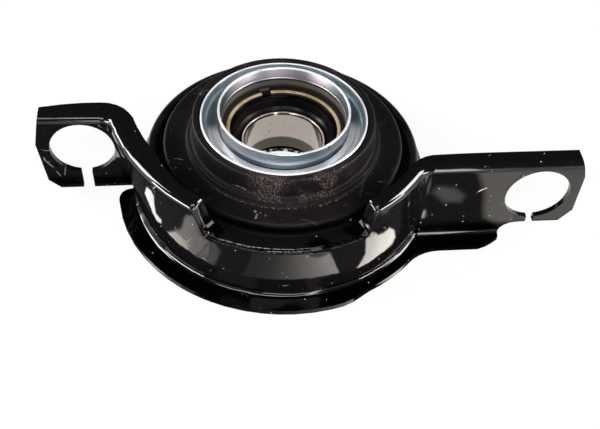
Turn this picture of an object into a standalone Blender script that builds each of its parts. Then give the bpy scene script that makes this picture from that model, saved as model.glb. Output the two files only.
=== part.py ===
"""Driveshaft centre bearing: a ball bearing in a rubber isolator, held in a pressed-steel bracket.

Metres, +Z up. The shaft axis is vertical, and the bracket's lip and the shell's rear edge lie on z = 0.
The origin is the middle of the whole part's footprint, so the shaft axis stands a little beside it.
"""
import math

import bmesh
import bpy
from mathutils import Matrix, Vector

# Clearances
SEAT_GAP = 0.0003
LIP_GAP = 0.00025
RACE_PLAY = 0.0001
POCKET_PLAY = 0.00015

# Bracket sheet and its round web
SHEET = 0.0025
ARM_TOP_Z = 0.0445
FRONT_TOP_Z = 0.0315
FOOT_BEND = 0.0025
SHOULDER_BEND = 0.0038
FRONT_BEND = 0.0030

# Steps down from the shoulders to the low front: each one's middle, its slope and its two bends
LEFT_STEP = math.radians(-124.2)
RIGHT_STEP = math.radians(-62.2)
LEFT_STEP_SLOPE = math.radians(68)
RIGHT_STEP_SLOPE = math.radians(76)
STEP_TOP_BEND = 0.0030
STEP_FOOT_BEND = 0.0050

# Past the left step the web's top edge opens to a wider arc towards the left arm
OPENING_RADIUS = 0.0993

# Arms
LEFT_ARM_Y = 0.0005
RIGHT_ARM_Y = -0.03675
LEFT_END_X = -0.1097
RIGHT_END_X = 0.1277
LEFT_CORNER_TOP = 0.005
LEFT_CORNER_FOOT = 0.0025
RIGHT_CORNER_TOP = 0.008
RIGHT_CORNER_FOOT = 0.004
LEFT_ARM_FOOT_Z = 0.0021
RIGHT_ARM_FOOT_Z = 0.0088
RIGHT_ARM_FLANGE = 0.0086
LEFT_ARM_FLANGE = 0.0100
LEFT_END_FLANGE = 0.0070
SHOULDER_FLANGE = 0.0062
LEFT_CURVE_FLANGE = 0.0104
FLANGE_NARROWING = (math.radians(-160), math.radians(-132))
FRONT_FLANGE = 0.0069

# Slotted eyes
EYE_RADIUS = 0.0143
EYE_Z = 0.0262
LEFT_EYE_X = -0.0897
RIGHT_EYE_X = 0.1090
LEFT_SLOT = 0.0050
RIGHT_SLOT = 0.0034

# Bottom lip
LIP_WIDTH = 0.0085
LIP_WIDTH_RIGHT = 0.0060
LIP_NARROWING = (math.radians(-74), math.radians(-62))
LIP_ARM_WIDTH = 0.0080
LIP_ARM_BEND = 0.020
LIP_END_X = 0.0954
LIP_END_ROUND = 0.0070
LIP_END_CUT = 0.0100
LIP_END_TAPER = 1.4
ARM_FOOT_RISE = 0.0080

# Trimmed ends of the arms: how far in from the end, and the height, from the foot up
LEFT_END_TRIM = ((0.0085, 0.0010), (0.0022, 0.0072), (0, 0.0295), (0.0034, 0.0460))
RIGHT_END_TRIM = ((0.0055, 0.0083), (0, 0.0155), (0, 0.0362), (0.0027, 0.0460))
TRIM_MARGIN = 0.0150

# Shell that the rubber is bonded in
SHELL_TOP_Z = 0.0251
SHELL_NECK_Z = 0.0185
SHELL_WALL = 0.0018
SHELL_STEP = 0.0031
SHELL_LIP = 0.0037
SHELL_ROUND = 0.8

# Rubber isolator
DISC_WIDTH = 0.0133
DISC_CLEARANCE = 0.0080
DISC_TOP_Z = 0.0312
DISC_THICKNESS = 0.0050
HUB_WALL = 0.0034
HUB_TOP_Z = 0.0439
HUB_STEP_Z = 0.0338
HUB_ROUND = 0.0005
WAIST_DEPTH = 0.0032
WAIST_SLOPE = 0.3
SKIRT_WIDTH = 0.0020
SKIRT_ROUND = 0.0012
MEMBRANE = 0.0016
WAIST_ROUND = 0.0015
FOLD_DEPTH = 0.0090
FOLD_WIDTH = 0.0045
FOLD_OUTER_SLOPE = 0.0030
FOLD_INNER_SLOPE = 0.0045
FOLD_ROUND = 0.0020
HUB_FOOT_SHARE = 0.36
FOOT_Z = 0.0030

# Sleeve, shields and snap ring
BEARING_WIDTH = 0.0100
SLEEVE_WALL = 0.0013
SLEEVE_BODY_WALL = 0.0030
SLEEVE_TOP_Z = 0.0473
SLEEVE_FOOT_Z = 0.0050
SLEEVE_SHOULDER = 0.0030
SHOULDER_DEPTH = 0.0022
SHIELD_WALL = 0.0011
SHIELD_FLOOR_Z = 0.0384
SHIELD_TROUGH = 0.0082
SHIELD_CORNER = 0.0036
SHIELD_BEND = 0.0014
SHIELD_LAND = 0.0028
RIM_ROUND = 0.0004
SHIELD_RIM_Z = 0.0437
REAR_SHIELD_CLEARANCE = 0.0038
REAR_SHIELD_BRIM = 0.0015
REAR_SHIELD_RELIEF = 0.0013
REAR_SHIELD_Z = 0.0012
SNAP_RING_WIDTH = 0.0040
SNAP_RING_THICKNESS = 0.0015
SNAP_RING_TOP_Z = 0.0366
SNAP_GROOVE_DEPTH = 0.0008
SNAP_GAP = 0.0042
SNAP_GAP_ANGLE = math.radians(105)

# Ball bearing
BORE_RADIUS = 0.0175
INNER_RISE = 0.0071
INNER_WIDTH = 0.0213
NOSE_WALL = 0.0019
NOSE_LENGTH = 0.0036
OUTER_WIDTH = 0.0195
BALL_DIAMETER = 0.00635
BALL_COUNT = 14
BALL_RISE = 0.0069
SHOULDER_HEIGHT = 0.00155
TRACK_PLAY = 1.6
RACE_CHAMFER = 0.0006
NOSE_ROUND = 0.0003
SEAL_RECESS = 0.0012
FRONT_SEAL_SINK = 0.0010
SEAL_LIP_SINK = 0.0016
SEAL_LIP_HEIGHT = 0.0010
SEAL_CONE = 0.0026
SEAL_FLANK = 0.0004
FRONT_SEAL_DEPTH = 0.0062
REAR_SEAL_DEPTH = 0.0024
SEAL_THICKNESS = 0.0014
CAGE_WIDTH = 0.0088
CAGE_WALL = 0.0024
POCKET_SIDES = 10

# Facets
LARGE_STEPS = 56
SMALL_STEPS = 44
HIDDEN_STEPS = 36
EYE_STEPS = 40
ARC_STEP = math.radians(46)
BEND_STEPS = 4
CORNER_STEPS = 5
WEB_START = math.radians(-178.4)
WEB_END = math.radians(-36)
LEFT_SHOULDER_STATIONS = [math.radians(a) for a in (-166, -160, -153, -146, -139, -134)]
FRONT_STATIONS = [math.radians(a) for a in (-117, -112, -106, -100, -95, -90, -84, -78, -74, -70)]
RIGHT_SHOULDER_STATIONS = [math.radians(a) for a in (-54, -49, -45, -40)]
LIP_START_SHARES = (0, 0.08, 0.3, 0.62, 1)
LIP_END_SHARES = (1, 0.62, 0.3, 0.1, 0)
LEFT_ARM_SHARES = (0, 0.25, 0.5, 0.75)
LEFT_ARM_WIDENING = 1.6
RIGHT_ARM_STATIONS = [0.072, 0.081]
FOOT_RISE_STATIONS = [math.radians(a) for a in (0, 25, 45, 65, 90)]
LIP_SPREAD = 0.5

# Worked out from the sizes above, from the shaft outwards
NOSE_RADIUS = BORE_RADIUS + NOSE_WALL
SLEEVE_BORE = BORE_RADIUS + BEARING_WIDTH
SLEEVE_BODY_RADIUS = SLEEVE_BORE + SLEEVE_BODY_WALL
REAR_SHIELD_BORE = BORE_RADIUS + REAR_SHIELD_CLEARANCE
SHIELD_RIM_RADIUS = SLEEVE_BORE + SLEEVE_WALL + SHIELD_TROUGH
HUB_RADIUS = SHIELD_RIM_RADIUS + HUB_WALL
DISC_RADIUS = HUB_RADIUS + DISC_WIDTH
WAIST_RADIUS = DISC_RADIUS - WAIST_DEPTH
SHELL_NECK_RADIUS = DISC_RADIUS + DISC_CLEARANCE
SHELL_RADIUS = SHELL_NECK_RADIUS + SHELL_STEP
WEB_RADIUS = SHELL_RADIUS + SEAT_GAP + SHEET
LIP_RADIUS = WEB_RADIUS + LIP_WIDTH
LIP_RADIUS_RIGHT = WEB_RADIUS + LIP_WIDTH_RIGHT
PITCH_RADIUS = (BORE_RADIUS + SLEEVE_BORE) / 2
BALL_RADIUS = BALL_DIAMETER / 2
OUTER_TOP_Z = SNAP_RING_TOP_Z - SNAP_RING_THICKNESS - SEAT_GAP
OUTER_FOOT_Z = OUTER_TOP_Z - OUTER_WIDTH
BALL_Z = OUTER_FOOT_Z + BALL_RISE
INNER_TOP_Z = BALL_Z + INNER_RISE
INNER_FOOT_Z = INNER_TOP_Z - INNER_WIDTH
SNAP_RING_RADIUS = SLEEVE_BORE + SNAP_GROOVE_DEPTH - SEAT_GAP
SHAFT = Vector((-(LEFT_END_X + RIGHT_END_X) / 2, (LIP_RADIUS - SHELL_RADIUS) / 2, 0))


def paint(name, color, roughness, metallic):
    material = bpy.data.materials.new(name)
    material.use_nodes = True
    shader = material.node_tree.nodes["Principled BSDF"]
    shader.inputs["Base Color"].default_value = (*color, 1)
    shader.inputs["Roughness"].default_value = roughness
    shader.inputs["Metallic"].default_value = metallic
    return material


def place(name, bm, material, axis):
    """Turn a bmesh about the shaft axis into a named object that hangs on the axis empty."""
    bmesh.ops.recalc_face_normals(bm, faces=bm.faces)
    mesh = bpy.data.meshes.new(name)
    bm.to_mesh(mesh)
    bm.free()
    mesh.shade_smooth()
    mesh.set_sharp_from_angle(angle=math.radians(35))
    mesh.materials.append(material)
    piece = bpy.data.objects.new(name, mesh)
    bpy.context.collection.objects.link(piece)
    piece.parent = axis
    return piece


def rounded(corners):
    """Closed outline from (across, up, fillet radius) corners, each fillet as an arc."""
    points = []
    for i, (x, z, fillet) in enumerate(corners):
        here = Vector((x, z))
        if fillet == 0:
            points.append(here)
            continue
        before = (Vector(corners[i - 1][:2]) - here).normalized()
        after = (Vector(corners[(i + 1) % len(corners)][:2]) - here).normalized()
        half = before.angle(after) / 2
        centre = here + (before + after).normalized() * (fillet / math.sin(half))
        start = here + before * (fillet / math.tan(half)) - centre
        turn = math.pi - 2 * half
        steps = math.ceil(turn / ARC_STEP)
        side = 1 if before.cross(after) < 0 else -1
        for k in range(steps + 1):
            points.append(centre + Matrix.Rotation(side * turn * k / steps, 2) @ start)
    return points


def turned(name, corners, material, axis, steps=SMALL_STEPS, gap=0.0, gap_middle=0.0):
    """A ring turned about the shaft axis. A gap leaves it open, centred on gap_middle."""
    bm = bmesh.new()
    sweep = 2 * math.pi - gap
    start = gap_middle + gap / 2
    profile = [bm.verts.new((p.x * math.cos(start), p.x * math.sin(start), p.y)) for p in rounded(corners)]
    face = bm.faces.new(profile)
    if gap:
        bmesh.ops.spin(bm, geom=[face, *face.edges, *profile], cent=(0, 0, 0), axis=(0, 0, 1),
                       angle=sweep, steps=steps)
    else:
        edges = list(face.edges)
        bm.faces.remove(face)
        bmesh.ops.spin(bm, geom=edges + profile, cent=(0, 0, 0), axis=(0, 0, 1), angle=sweep, steps=steps)
        bmesh.ops.remove_doubles(bm, verts=bm.verts, dist=0.000001)
    return place(name, bm, material, axis)


def prism(name, outline, direction, depth, axis):
    """A cutter: a closed outline pushed out along a direction."""
    bm = bmesh.new()
    face = bm.faces.new([bm.verts.new(p) for p in outline])
    pushed = bmesh.ops.extrude_face_region(bm, geom=[face])
    moved = [v for v in pushed["geom"] if isinstance(v, bmesh.types.BMVert)]
    bmesh.ops.translate(bm, verts=moved, vec=Vector(direction) * depth)
    cutter = place(name, bm, bpy.data.materials["cutter"], axis)
    cutter.hide_render = True
    cutter.display_type = "WIRE"
    return cutter


def cut(piece, cutter):
    boolean = piece.modifiers.new(cutter.name, "BOOLEAN")
    boolean.operation = "DIFFERENCE"
    boolean.solver = "EXACT"
    boolean.object = cutter


def blend(a, b, share):
    """From a to b with level ends, as share goes from 0 to 1."""
    share = min(max(share, 0), 1)
    return a + (b - a) * share * share * (3 - 2 * share)


def step_blend(low_angle, high_angle, angle, before, after):
    return blend(before, after, (angle - low_angle) / (high_angle - low_angle))


def step_profile(steepest):
    """Stations down a step as (along, share of the drop, slope): a bend over, a straight, a bend back."""
    drop = ARM_TOP_Z - FRONT_TOP_Z
    bends = STEP_TOP_BEND + STEP_FOOT_BEND
    straight = (drop - bends * (1 - math.cos(steepest))) / math.sin(steepest)
    half = (bends * math.sin(steepest) + straight * math.cos(steepest)) / 2
    slopes = [steepest * k / BEND_STEPS for k in range(BEND_STEPS + 1)]
    over = [(STEP_TOP_BEND * math.sin(t) - half, STEP_TOP_BEND * (1 - math.cos(t)) / drop, t) for t in slopes]
    back = [(half - STEP_FOOT_BEND * math.sin(t), 1 - STEP_FOOT_BEND * (1 - math.cos(t)) / drop, t)
            for t in reversed(slopes)]
    return over + back


def arc(centre, radius, angle):
    return Vector((centre[0] + radius * math.cos(angle), centre[1] + radius * math.sin(angle)))


def corner_centre(web_centre, web_radius, corner_radius, arm_y, side):
    """Centre of the bend that joins a round web to a straight arm. side is -1 left, 1 right."""
    y = arm_y - corner_radius
    reach = web_radius + corner_radius
    return Vector((web_centre[0] + side * math.sqrt(reach ** 2 - (y - web_centre[1]) ** 2), y))


def web_curve(centre_left, radius_left, opening, left_corner, right_corner, angles, left_xs, right_xs):
    """Plan points and outward normals of the sheet's outer face, from the left arm's end to the right's."""
    out = [(Vector((x, LEFT_ARM_Y)), Vector((0, -1))) for x in left_xs]
    c = corner_centre(centre_left, radius_left, left_corner, LEFT_ARM_Y, -1)
    left_start = math.atan2(c.y - centre_left[1], c.x - centre_left[0])
    left_start -= 2 * math.pi if left_start > 0 else 0
    for k in range(CORNER_STEPS):
        angle = math.pi / 2 + (left_start + math.pi / 2) * k / CORNER_STEPS
        p = arc(c, left_corner, angle)
        out.append((p, (c - p).normalized()))
    d = corner_centre((0, 0), WEB_RADIUS, right_corner, RIGHT_ARM_Y, 1)
    right_end = math.atan2(d.y, d.x)
    first, last = angles[0], angles[-1]
    for nominal in angles:
        if nominal < opening:
            share = (nominal - first) / (opening - first)
            angle = left_start + (opening - left_start) * share
            p = arc(centre_left, radius_left, angle)
            out.append((p, (p - Vector(centre_left)).normalized()))
        else:
            angle = nominal
            if nominal > RIGHT_SHOULDER_STATIONS[0]:
                share = (nominal - RIGHT_SHOULDER_STATIONS[0]) / (last - RIGHT_SHOULDER_STATIONS[0])
                angle = RIGHT_SHOULDER_STATIONS[0] + (right_end - RIGHT_SHOULDER_STATIONS[0]) * share
            p = arc((0, 0), WEB_RADIUS, angle)
            out.append((p, p.normalized()))
    for k in range(1, CORNER_STEPS + 1):
        angle = right_end + math.pi + (math.pi / 2 - right_end - math.pi) * k / CORNER_STEPS
        p = arc(d, right_corner, angle)
        out.append((p, (d - p).normalized()))
    out += [(Vector((x, RIGHT_ARM_Y)), Vector((0, -1))) for x in right_xs]
    return out


def lip_curve(feet, round_first, round_count):
    """Outer edge of the bottom lip for each station, or None where the sheet has no lip."""
    bend_y = RIGHT_ARM_Y - LIP_ARM_WIDTH - LIP_ARM_BEND
    bend_x = math.sqrt((LIP_RADIUS_RIGHT + LIP_ARM_BEND) ** 2 - bend_y ** 2)
    bend_start = math.atan2(bend_y, bend_x)
    lips = [None] * len(feet)
    full = round_first + round_count
    corner_angle = math.atan2(feet[full - 1][0].y, feet[full - 1][0].x)
    left_angle = math.atan2(feet[round_first][0].y, feet[round_first][0].x) - (
        2 * math.pi if feet[round_first][0].y > 0 else 0)
    for i in range(round_first, full):
        p = feet[i][0]
        angle = math.atan2(p.y, p.x)
        radius = step_blend(*LIP_NARROWING, angle, LIP_RADIUS, LIP_RADIUS_RIGHT)
        run = (angle - left_angle) * LIP_RADIUS
        if run < LIP_END_ROUND:
            foot = WEB_RADIUS + FOOT_BEND + SEAT_GAP
            radius = foot + (radius - foot) * math.sqrt(1 - (1 - run / LIP_END_ROUND) ** 2)
        squeeze = max(0, (angle - LIP_NARROWING[1]) / (corner_angle - LIP_NARROWING[1]))
        aim = angle + (bend_start - corner_angle) * squeeze ** 2
        lips[i] = arc((0, 0), radius, aim)
    start = bend_start + math.pi
    for k in range(1, CORNER_STEPS + 1):
        angle = start + (math.pi / 2 - start) * k / CORNER_STEPS
        lips[full - 1 + k] = arc((bend_x, bend_y), LIP_ARM_BEND, angle)
    straight = full + CORNER_STEPS
    web_bend_end = feet[straight - 1][0].x
    for i in range(straight, len(feet)):
        x = feet[i][0].x
        if x > LIP_END_X:
            break
        reach = LIP_ARM_WIDTH
        left_over = (LIP_END_X - x) / LIP_END_CUT
        if left_over > 1:
            x = max(x, bend_x + (x - web_bend_end) * LIP_SPREAD)
        else:
            foot = FOOT_BEND + SEAT_GAP
            reach = foot + (reach - foot) * (1 - (1 - left_over) ** LIP_END_TAPER)
        lips[i] = Vector((x, RIGHT_ARM_Y - reach))
    return lips


def beside(station, out, z):
    """The point at a distance out from the sheet's outer face at a station, at height z."""
    point, normal = station
    return Vector((point.x + normal.x * out, point.y + normal.y * out, z))


def sheet_section(foot, top, under, lip, foot_z, top_z, flange, bend, slope, turns=3):
    """One closed section of the sheet: lip, web and top flange, or a plain foot where there is no lip.

    On a step the flange's underside lies square to its slope, so it takes its own station, under.
    """
    low, high = SHEET + FOOT_BEND, top_z - bend
    under_z = top_z - SHEET * math.cos(slope)
    quarter = [math.pi / 2 * k / turns for k in range(turns + 1)]
    points = []
    if lip is None:
        rise = FOOT_BEND / (turns + 1)
        points += [beside(foot, -SHEET / 2, foot_z), beside(foot, 0, foot_z)]
        points += [beside(foot, 0, foot_z + rise * (k + 1)) for k in range(turns + 1)]
    else:
        points += [Vector((lip.x, lip.y, 0)), Vector((lip.x, lip.y, SHEET))]
        points += [beside(foot, FOOT_BEND * (1 - math.sin(a)), low - FOOT_BEND * math.cos(a)) for a in quarter]
    points += [beside(top, -bend * (1 - math.cos(a)), high + bend * math.sin(a)) for a in quarter]
    points += [beside(top, -flange, top_z), beside(under, -flange, under_z)]
    inner = bend - SHEET
    points += [beside(under, -bend + inner * math.sin(a), under_z - inner * (1 - math.cos(a))) for a in quarter]
    if lip is None:
        points += [beside(foot, -SHEET, foot_z + rise * (turns + 1 - k)) for k in range(turns)]
        points.append(beside(foot, -SHEET, foot_z))
    else:
        outer = FOOT_BEND + SHEET
        points += [beside(foot, FOOT_BEND - outer * math.cos(a), low - outer * math.sin(a)) for a in quarter]
    return points


def bracket(material, axis):
    """The pressed sheet: its section is swept along the arms and the round web, then the eyes are cut."""
    left_profile, right_profile = step_profile(LEFT_STEP_SLOPE), step_profile(RIGHT_STEP_SLOPE)
    edges = [WEB_START + share * LIP_END_ROUND / LIP_RADIUS for share in LIP_START_SHARES]
    left_drop = [LEFT_STEP + along / WEB_RADIUS for along, _, _ in left_profile]
    right_drop = [RIGHT_STEP - along / WEB_RADIUS for along, _, _ in reversed(right_profile)]
    left_first = len(edges) + len(LEFT_SHOULDER_STATIONS)
    right_first = left_first + len(left_drop) + len(FRONT_STATIONS)
    angles = edges + LEFT_SHOULDER_STATIONS + left_drop + FRONT_STATIONS + right_drop
    angles += RIGHT_SHOULDER_STATIONS + [WEB_END]
    drops = [0.0] * len(angles)
    slopes = [0.0] * len(angles)
    unders = list(angles)
    drops[left_first:right_first] = [1.0] * (right_first - left_first)
    for profile, first, away, side in ((left_profile, left_first, 1, -1),
                                       (right_profile, right_first + len(right_drop) - 1, -1, 1)):
        for k, (_, down, slope) in enumerate(profile):
            station = first + away * k
            drops[station], slopes[station] = down, slope
            unders[station] += side * SHEET * math.sin(slope) / WEB_RADIUS
    opening = left_drop[0]
    opening_centre = arc((0, 0), OPENING_RADIUS - WEB_RADIUS, opening + math.pi)
    top_corner = corner_centre(opening_centre, OPENING_RADIUS, LEFT_CORNER_TOP, LEFT_ARM_Y, -1)
    foot_corner = corner_centre((0, 0), WEB_RADIUS, LEFT_CORNER_FOOT, LEFT_ARM_Y, -1)
    left_end = LEFT_END_X - SHEET
    top_left = [left_end + (top_corner.x - left_end) * s for s in LEFT_ARM_SHARES]
    foot_left = [left_end + (foot_corner.x - left_end) * s for s in LEFT_ARM_SHARES]
    rise_x = LIP_END_X + SEAT_GAP
    rises = [rise_x + ARM_FOOT_RISE * (1 - math.cos(a)) for a in FOOT_RISE_STATIONS]
    xs = RIGHT_ARM_STATIONS + [LIP_END_X - LIP_END_CUT * k for k in LIP_END_SHARES]
    xs += rises + [RIGHT_END_X + SHEET]
    wide = (opening_centre, OPENING_RADIUS, opening, LEFT_CORNER_TOP, RIGHT_CORNER_TOP)
    feet = web_curve((0, 0), WEB_RADIUS, opening, LEFT_CORNER_FOOT, RIGHT_CORNER_FOOT, angles, foot_left, xs)
    tops = web_curve(*wide, angles, top_left, xs)
    undersides = web_curve(*wide, unders, top_left, xs)
    round_first = len(LEFT_ARM_SHARES) + CORNER_STEPS
    lips = lip_curve(feet, round_first, len(angles))
    stations = []
    for i, (foot, top, under, lip) in enumerate(zip(feet, tops, undersides, lips)):
        k = i - round_first
        top_z, bend, foot_z, slope = ARM_TOP_Z, SHOULDER_BEND, LEFT_ARM_FOOT_Z, 0.0
        if i < len(LEFT_ARM_SHARES):
            widening = min(1, LEFT_ARM_SHARES[i] * LEFT_ARM_WIDENING)
            flange = LEFT_END_FLANGE + (LEFT_ARM_FLANGE - LEFT_END_FLANGE) * widening
        elif k < 0:
            flange = LEFT_ARM_FLANGE
        elif k < len(angles):
            flange = step_blend(*FLANGE_NARROWING, angles[k], LEFT_CURVE_FLANGE, SHOULDER_FLANGE)
            flange += (FRONT_FLANGE - flange) * drops[k]
            top_z += (FRONT_TOP_Z - ARM_TOP_Z) * drops[k]
            bend += (FRONT_BEND - SHOULDER_BEND) * drops[k]
            slope = slopes[k]
        else:
            past = k - len(angles) + 1
            flange = blend(SHOULDER_FLANGE, RIGHT_ARM_FLANGE, past / (CORNER_STEPS + 2))
            if lip is None:
                gone = min(max(0, (foot[0].x - rise_x) / ARM_FOOT_RISE), 1)
                foot_z = SHEET + (RIGHT_ARM_FOOT_Z - SHEET) * math.sqrt(1 - (1 - gone) ** 2)
        stations.append(sheet_section(foot, top, under, lip, foot_z, top_z, flange, bend, slope))
    bm = bmesh.new()
    rings = [[bm.verts.new(p) for p in station] for station in stations]
    for a, b in zip(rings, rings[1:]):
        for k in range(len(a)):
            n = (k + 1) % len(a)
            bm.faces.new((a[k], a[n], b[n], b[k]))
    bm.faces.new(rings[0])
    bm.faces.new(reversed(rings[-1]))
    piece = place("bracket", bm, material, axis)
    for side, x, arm_y, slot in (("left", LEFT_EYE_X, LEFT_ARM_Y, LEFT_SLOT),
                                 ("right", RIGHT_EYE_X, RIGHT_ARM_Y, RIGHT_SLOT)):
        half = math.asin(slot / 2 / EYE_RADIUS)
        sweep_angle = 2 * math.pi - 2 * half
        turns = [-math.pi / 2 + half + sweep_angle * k / EYE_STEPS for k in range(EYE_STEPS + 1)]
        rim = [(x + EYE_RADIUS * math.cos(a), EYE_Z + EYE_RADIUS * math.sin(a)) for a in turns]
        outline = rim + [(x - slot / 2, -SHEET), (x + slot / 2, -SHEET)]
        front = arm_y - SHEET
        outline = [(px, front, pz) for px, pz in outline]
        cut(piece, prism(side + "_eye_cutter", outline, (0, 1, 0), 3 * SHEET, axis))
    trims = (("left_end_cutter", LEFT_END_X, 1, LEFT_END_TRIM, LEFT_ARM_Y),
             ("right_end_cutter", RIGHT_END_X, -1, RIGHT_END_TRIM, RIGHT_ARM_Y))
    for name, end_x, inwards, trim, arm_y in trims:
        outline = [(end_x + inwards * inset, z) for inset, z in trim]
        outline += [(end_x - inwards * TRIM_MARGIN, trim[-1][1]), (end_x - inwards * TRIM_MARGIN, trim[0][1])]
        front = arm_y - 2 * SHEET
        outline = [(px, front, pz) for px, pz in outline]
        cut(piece, prism(name, outline, (0, 1, 0), TRIM_MARGIN + 2 * SHEET, axis))
    return piece


def ball_bearing(steel, dark_steel, seal_rubber, cage_material, axis):
    track = BALL_RADIUS + RACE_PLAY * TRACK_PLAY
    inner_bottom = PITCH_RADIUS - BALL_RADIUS - RACE_PLAY
    outer_bottom = PITCH_RADIUS + BALL_RADIUS + RACE_PLAY
    inner_land = inner_bottom + SHOULDER_HEIGHT
    outer_land = outer_bottom - SHOULDER_HEIGHT

    def groove(bottom, land, side):
        """Track as profile points between the two lands, running upwards for side 1 and downwards for -1."""
        centre = bottom + (track if side > 0 else -track)
        half = math.acos(abs(centre - land) / track)
        angles = [half * (k / 2 - 1) for k in range(5)]
        sign = -1 if side > 0 else 1
        return [(centre + sign * track * math.cos(a), BALL_Z + side * track * math.sin(a), 0) for a in angles]

    nose_z = INNER_TOP_Z - NOSE_LENGTH
    tail_z = INNER_FOOT_Z + NOSE_LENGTH
    inner = [(BORE_RADIUS, INNER_FOOT_Z, RACE_CHAMFER), (NOSE_RADIUS, INNER_FOOT_Z, NOSE_ROUND),
             (NOSE_RADIUS, tail_z, 0), (inner_land, tail_z, 0)]
    inner += groove(inner_bottom, inner_land, 1)
    inner += [(inner_land, nose_z, 0), (NOSE_RADIUS, nose_z, 0), (NOSE_RADIUS, INNER_TOP_Z, NOSE_ROUND),
              (BORE_RADIUS, INNER_TOP_Z, RACE_CHAMFER)]
    turned("inner_race", inner, steel, axis)
    outside = SLEEVE_BORE - SEAT_GAP
    recess = outer_land + SEAL_RECESS
    front_floor = OUTER_TOP_Z - FRONT_SEAL_DEPTH
    rear_floor = OUTER_FOOT_Z + REAR_SEAL_DEPTH
    outer = [(outside, OUTER_FOOT_Z, RACE_CHAMFER), (outside, OUTER_TOP_Z, RACE_CHAMFER),
             (recess, OUTER_TOP_Z, 0), (recess, front_floor, 0), (outer_land, front_floor, 0)]
    outer += groove(outer_bottom, outer_land, -1)
    outer += [(outer_land, rear_floor, 0), (recess, rear_floor, 0), (recess, OUTER_FOOT_Z, 0)]
    turned("outer_race", outer, dark_steel, axis, steps=HIDDEN_STEPS)
    rim = recess - SEAT_GAP
    lip = NOSE_RADIUS + LIP_GAP
    seal_top = OUTER_TOP_Z - FRONT_SEAL_SINK
    lip_z = INNER_TOP_Z - SEAL_LIP_SINK
    cone = lip + SEAL_CONE
    turned("front_seal", [
        (rim, seal_top - SEAL_THICKNESS, 0), (rim, seal_top, NOSE_ROUND), (cone, seal_top, RACE_CHAMFER),
        (cone - 2 * SEAL_FLANK, lip_z + 2 * SEAL_LIP_HEIGHT, 0), (lip, lip_z + SEAL_LIP_HEIGHT, 0),
        (lip, lip_z, 0), (cone, lip_z + SEAL_FLANK, 0),
        (cone + SEAL_LIP_HEIGHT, seal_top - SEAL_THICKNESS, 0)],
        seal_rubber, axis, steps=HIDDEN_STEPS)
    land_gap = inner_land + LIP_GAP
    rear_low = OUTER_FOOT_Z + SEAT_GAP
    rear_high = rear_low + SEAL_THICKNESS
    section = [(land_gap, rear_low, 0), (rim, rear_low, 0), (rim, rear_high, 0), (land_gap, rear_high, 0)]
    turned("rear_seal", section, seal_rubber, axis, steps=HIDDEN_STEPS)
    ring_in, ring_out = PITCH_RADIUS - CAGE_WALL / 2, PITCH_RADIUS + CAGE_WALL / 2
    low, high = BALL_Z - CAGE_WIDTH / 2, BALL_Z + CAGE_WIDTH / 2
    cage = turned("ball_cage", [(ring_in, low, 0), (ring_out, low, 0), (ring_out, high, 0), (ring_in, high, 0)],
                  cage_material, axis, steps=2 * BALL_COUNT)
    pockets = bmesh.new()
    for k in range(BALL_COUNT):
        turn = 2 * math.pi * k / BALL_COUNT
        matrix = (Matrix.Rotation(turn, 4, "Z") @ Matrix.Translation((PITCH_RADIUS, 0, BALL_Z))
                  @ Matrix.Rotation(math.pi / 2, 4, "Y"))
        wide = (BALL_RADIUS + POCKET_PLAY) / math.cos(math.pi / POCKET_SIDES)
        bmesh.ops.create_cone(pockets, cap_ends=True, segments=POCKET_SIDES, radius1=wide, radius2=wide,
                              depth=3 * CAGE_WALL, matrix=matrix)
    cutter = place("pocket_cutter", pockets, bpy.data.materials["cutter"], axis)
    cutter.hide_render = True
    cutter.display_type = "WIRE"
    cut(cage, cutter)
    ball = bmesh.new()
    bmesh.ops.create_uvsphere(ball, u_segments=10, v_segments=6, radius=BALL_RADIUS)
    shared = None
    for k in range(BALL_COUNT):
        turn = 2 * math.pi * k / BALL_COUNT
        name = "ball_%02d" % (k + 1)
        if shared is None:
            piece = place(name, ball, steel, axis)
            shared = piece.data
        else:
            piece = bpy.data.objects.new(name, shared)
            bpy.context.collection.objects.link(piece)
            piece.parent = axis
        piece.location = (PITCH_RADIUS * math.cos(turn), PITCH_RADIUS * math.sin(turn), BALL_Z)


def shell(material, axis):
    """Drawn steel shell: a wide foot that fills the web and a narrower neck with its edge turned in."""
    neck, wide, wall = SHELL_NECK_RADIUS, SHELL_RADIUS, SHELL_WALL
    edge, slope_z, bend = neck - SHELL_LIP, SHELL_NECK_Z - SHELL_STEP, wall * SHELL_ROUND
    turned("outer_ring", [
        (wide - wall, 0, 0), (wide, 0, 0), (wide, slope_z, bend), (neck, SHELL_NECK_Z, bend),
        (neck, SHELL_TOP_Z, bend), (edge, SHELL_TOP_Z, 0), (edge, SHELL_TOP_Z - wall, 0),
        (neck - wall, SHELL_TOP_Z - wall, 0), (neck - wall, SHELL_NECK_Z - wall / 3, 0),
        (wide - wall, slope_z - wall / 3, 0)], material, axis, steps=LARGE_STEPS)


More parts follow.
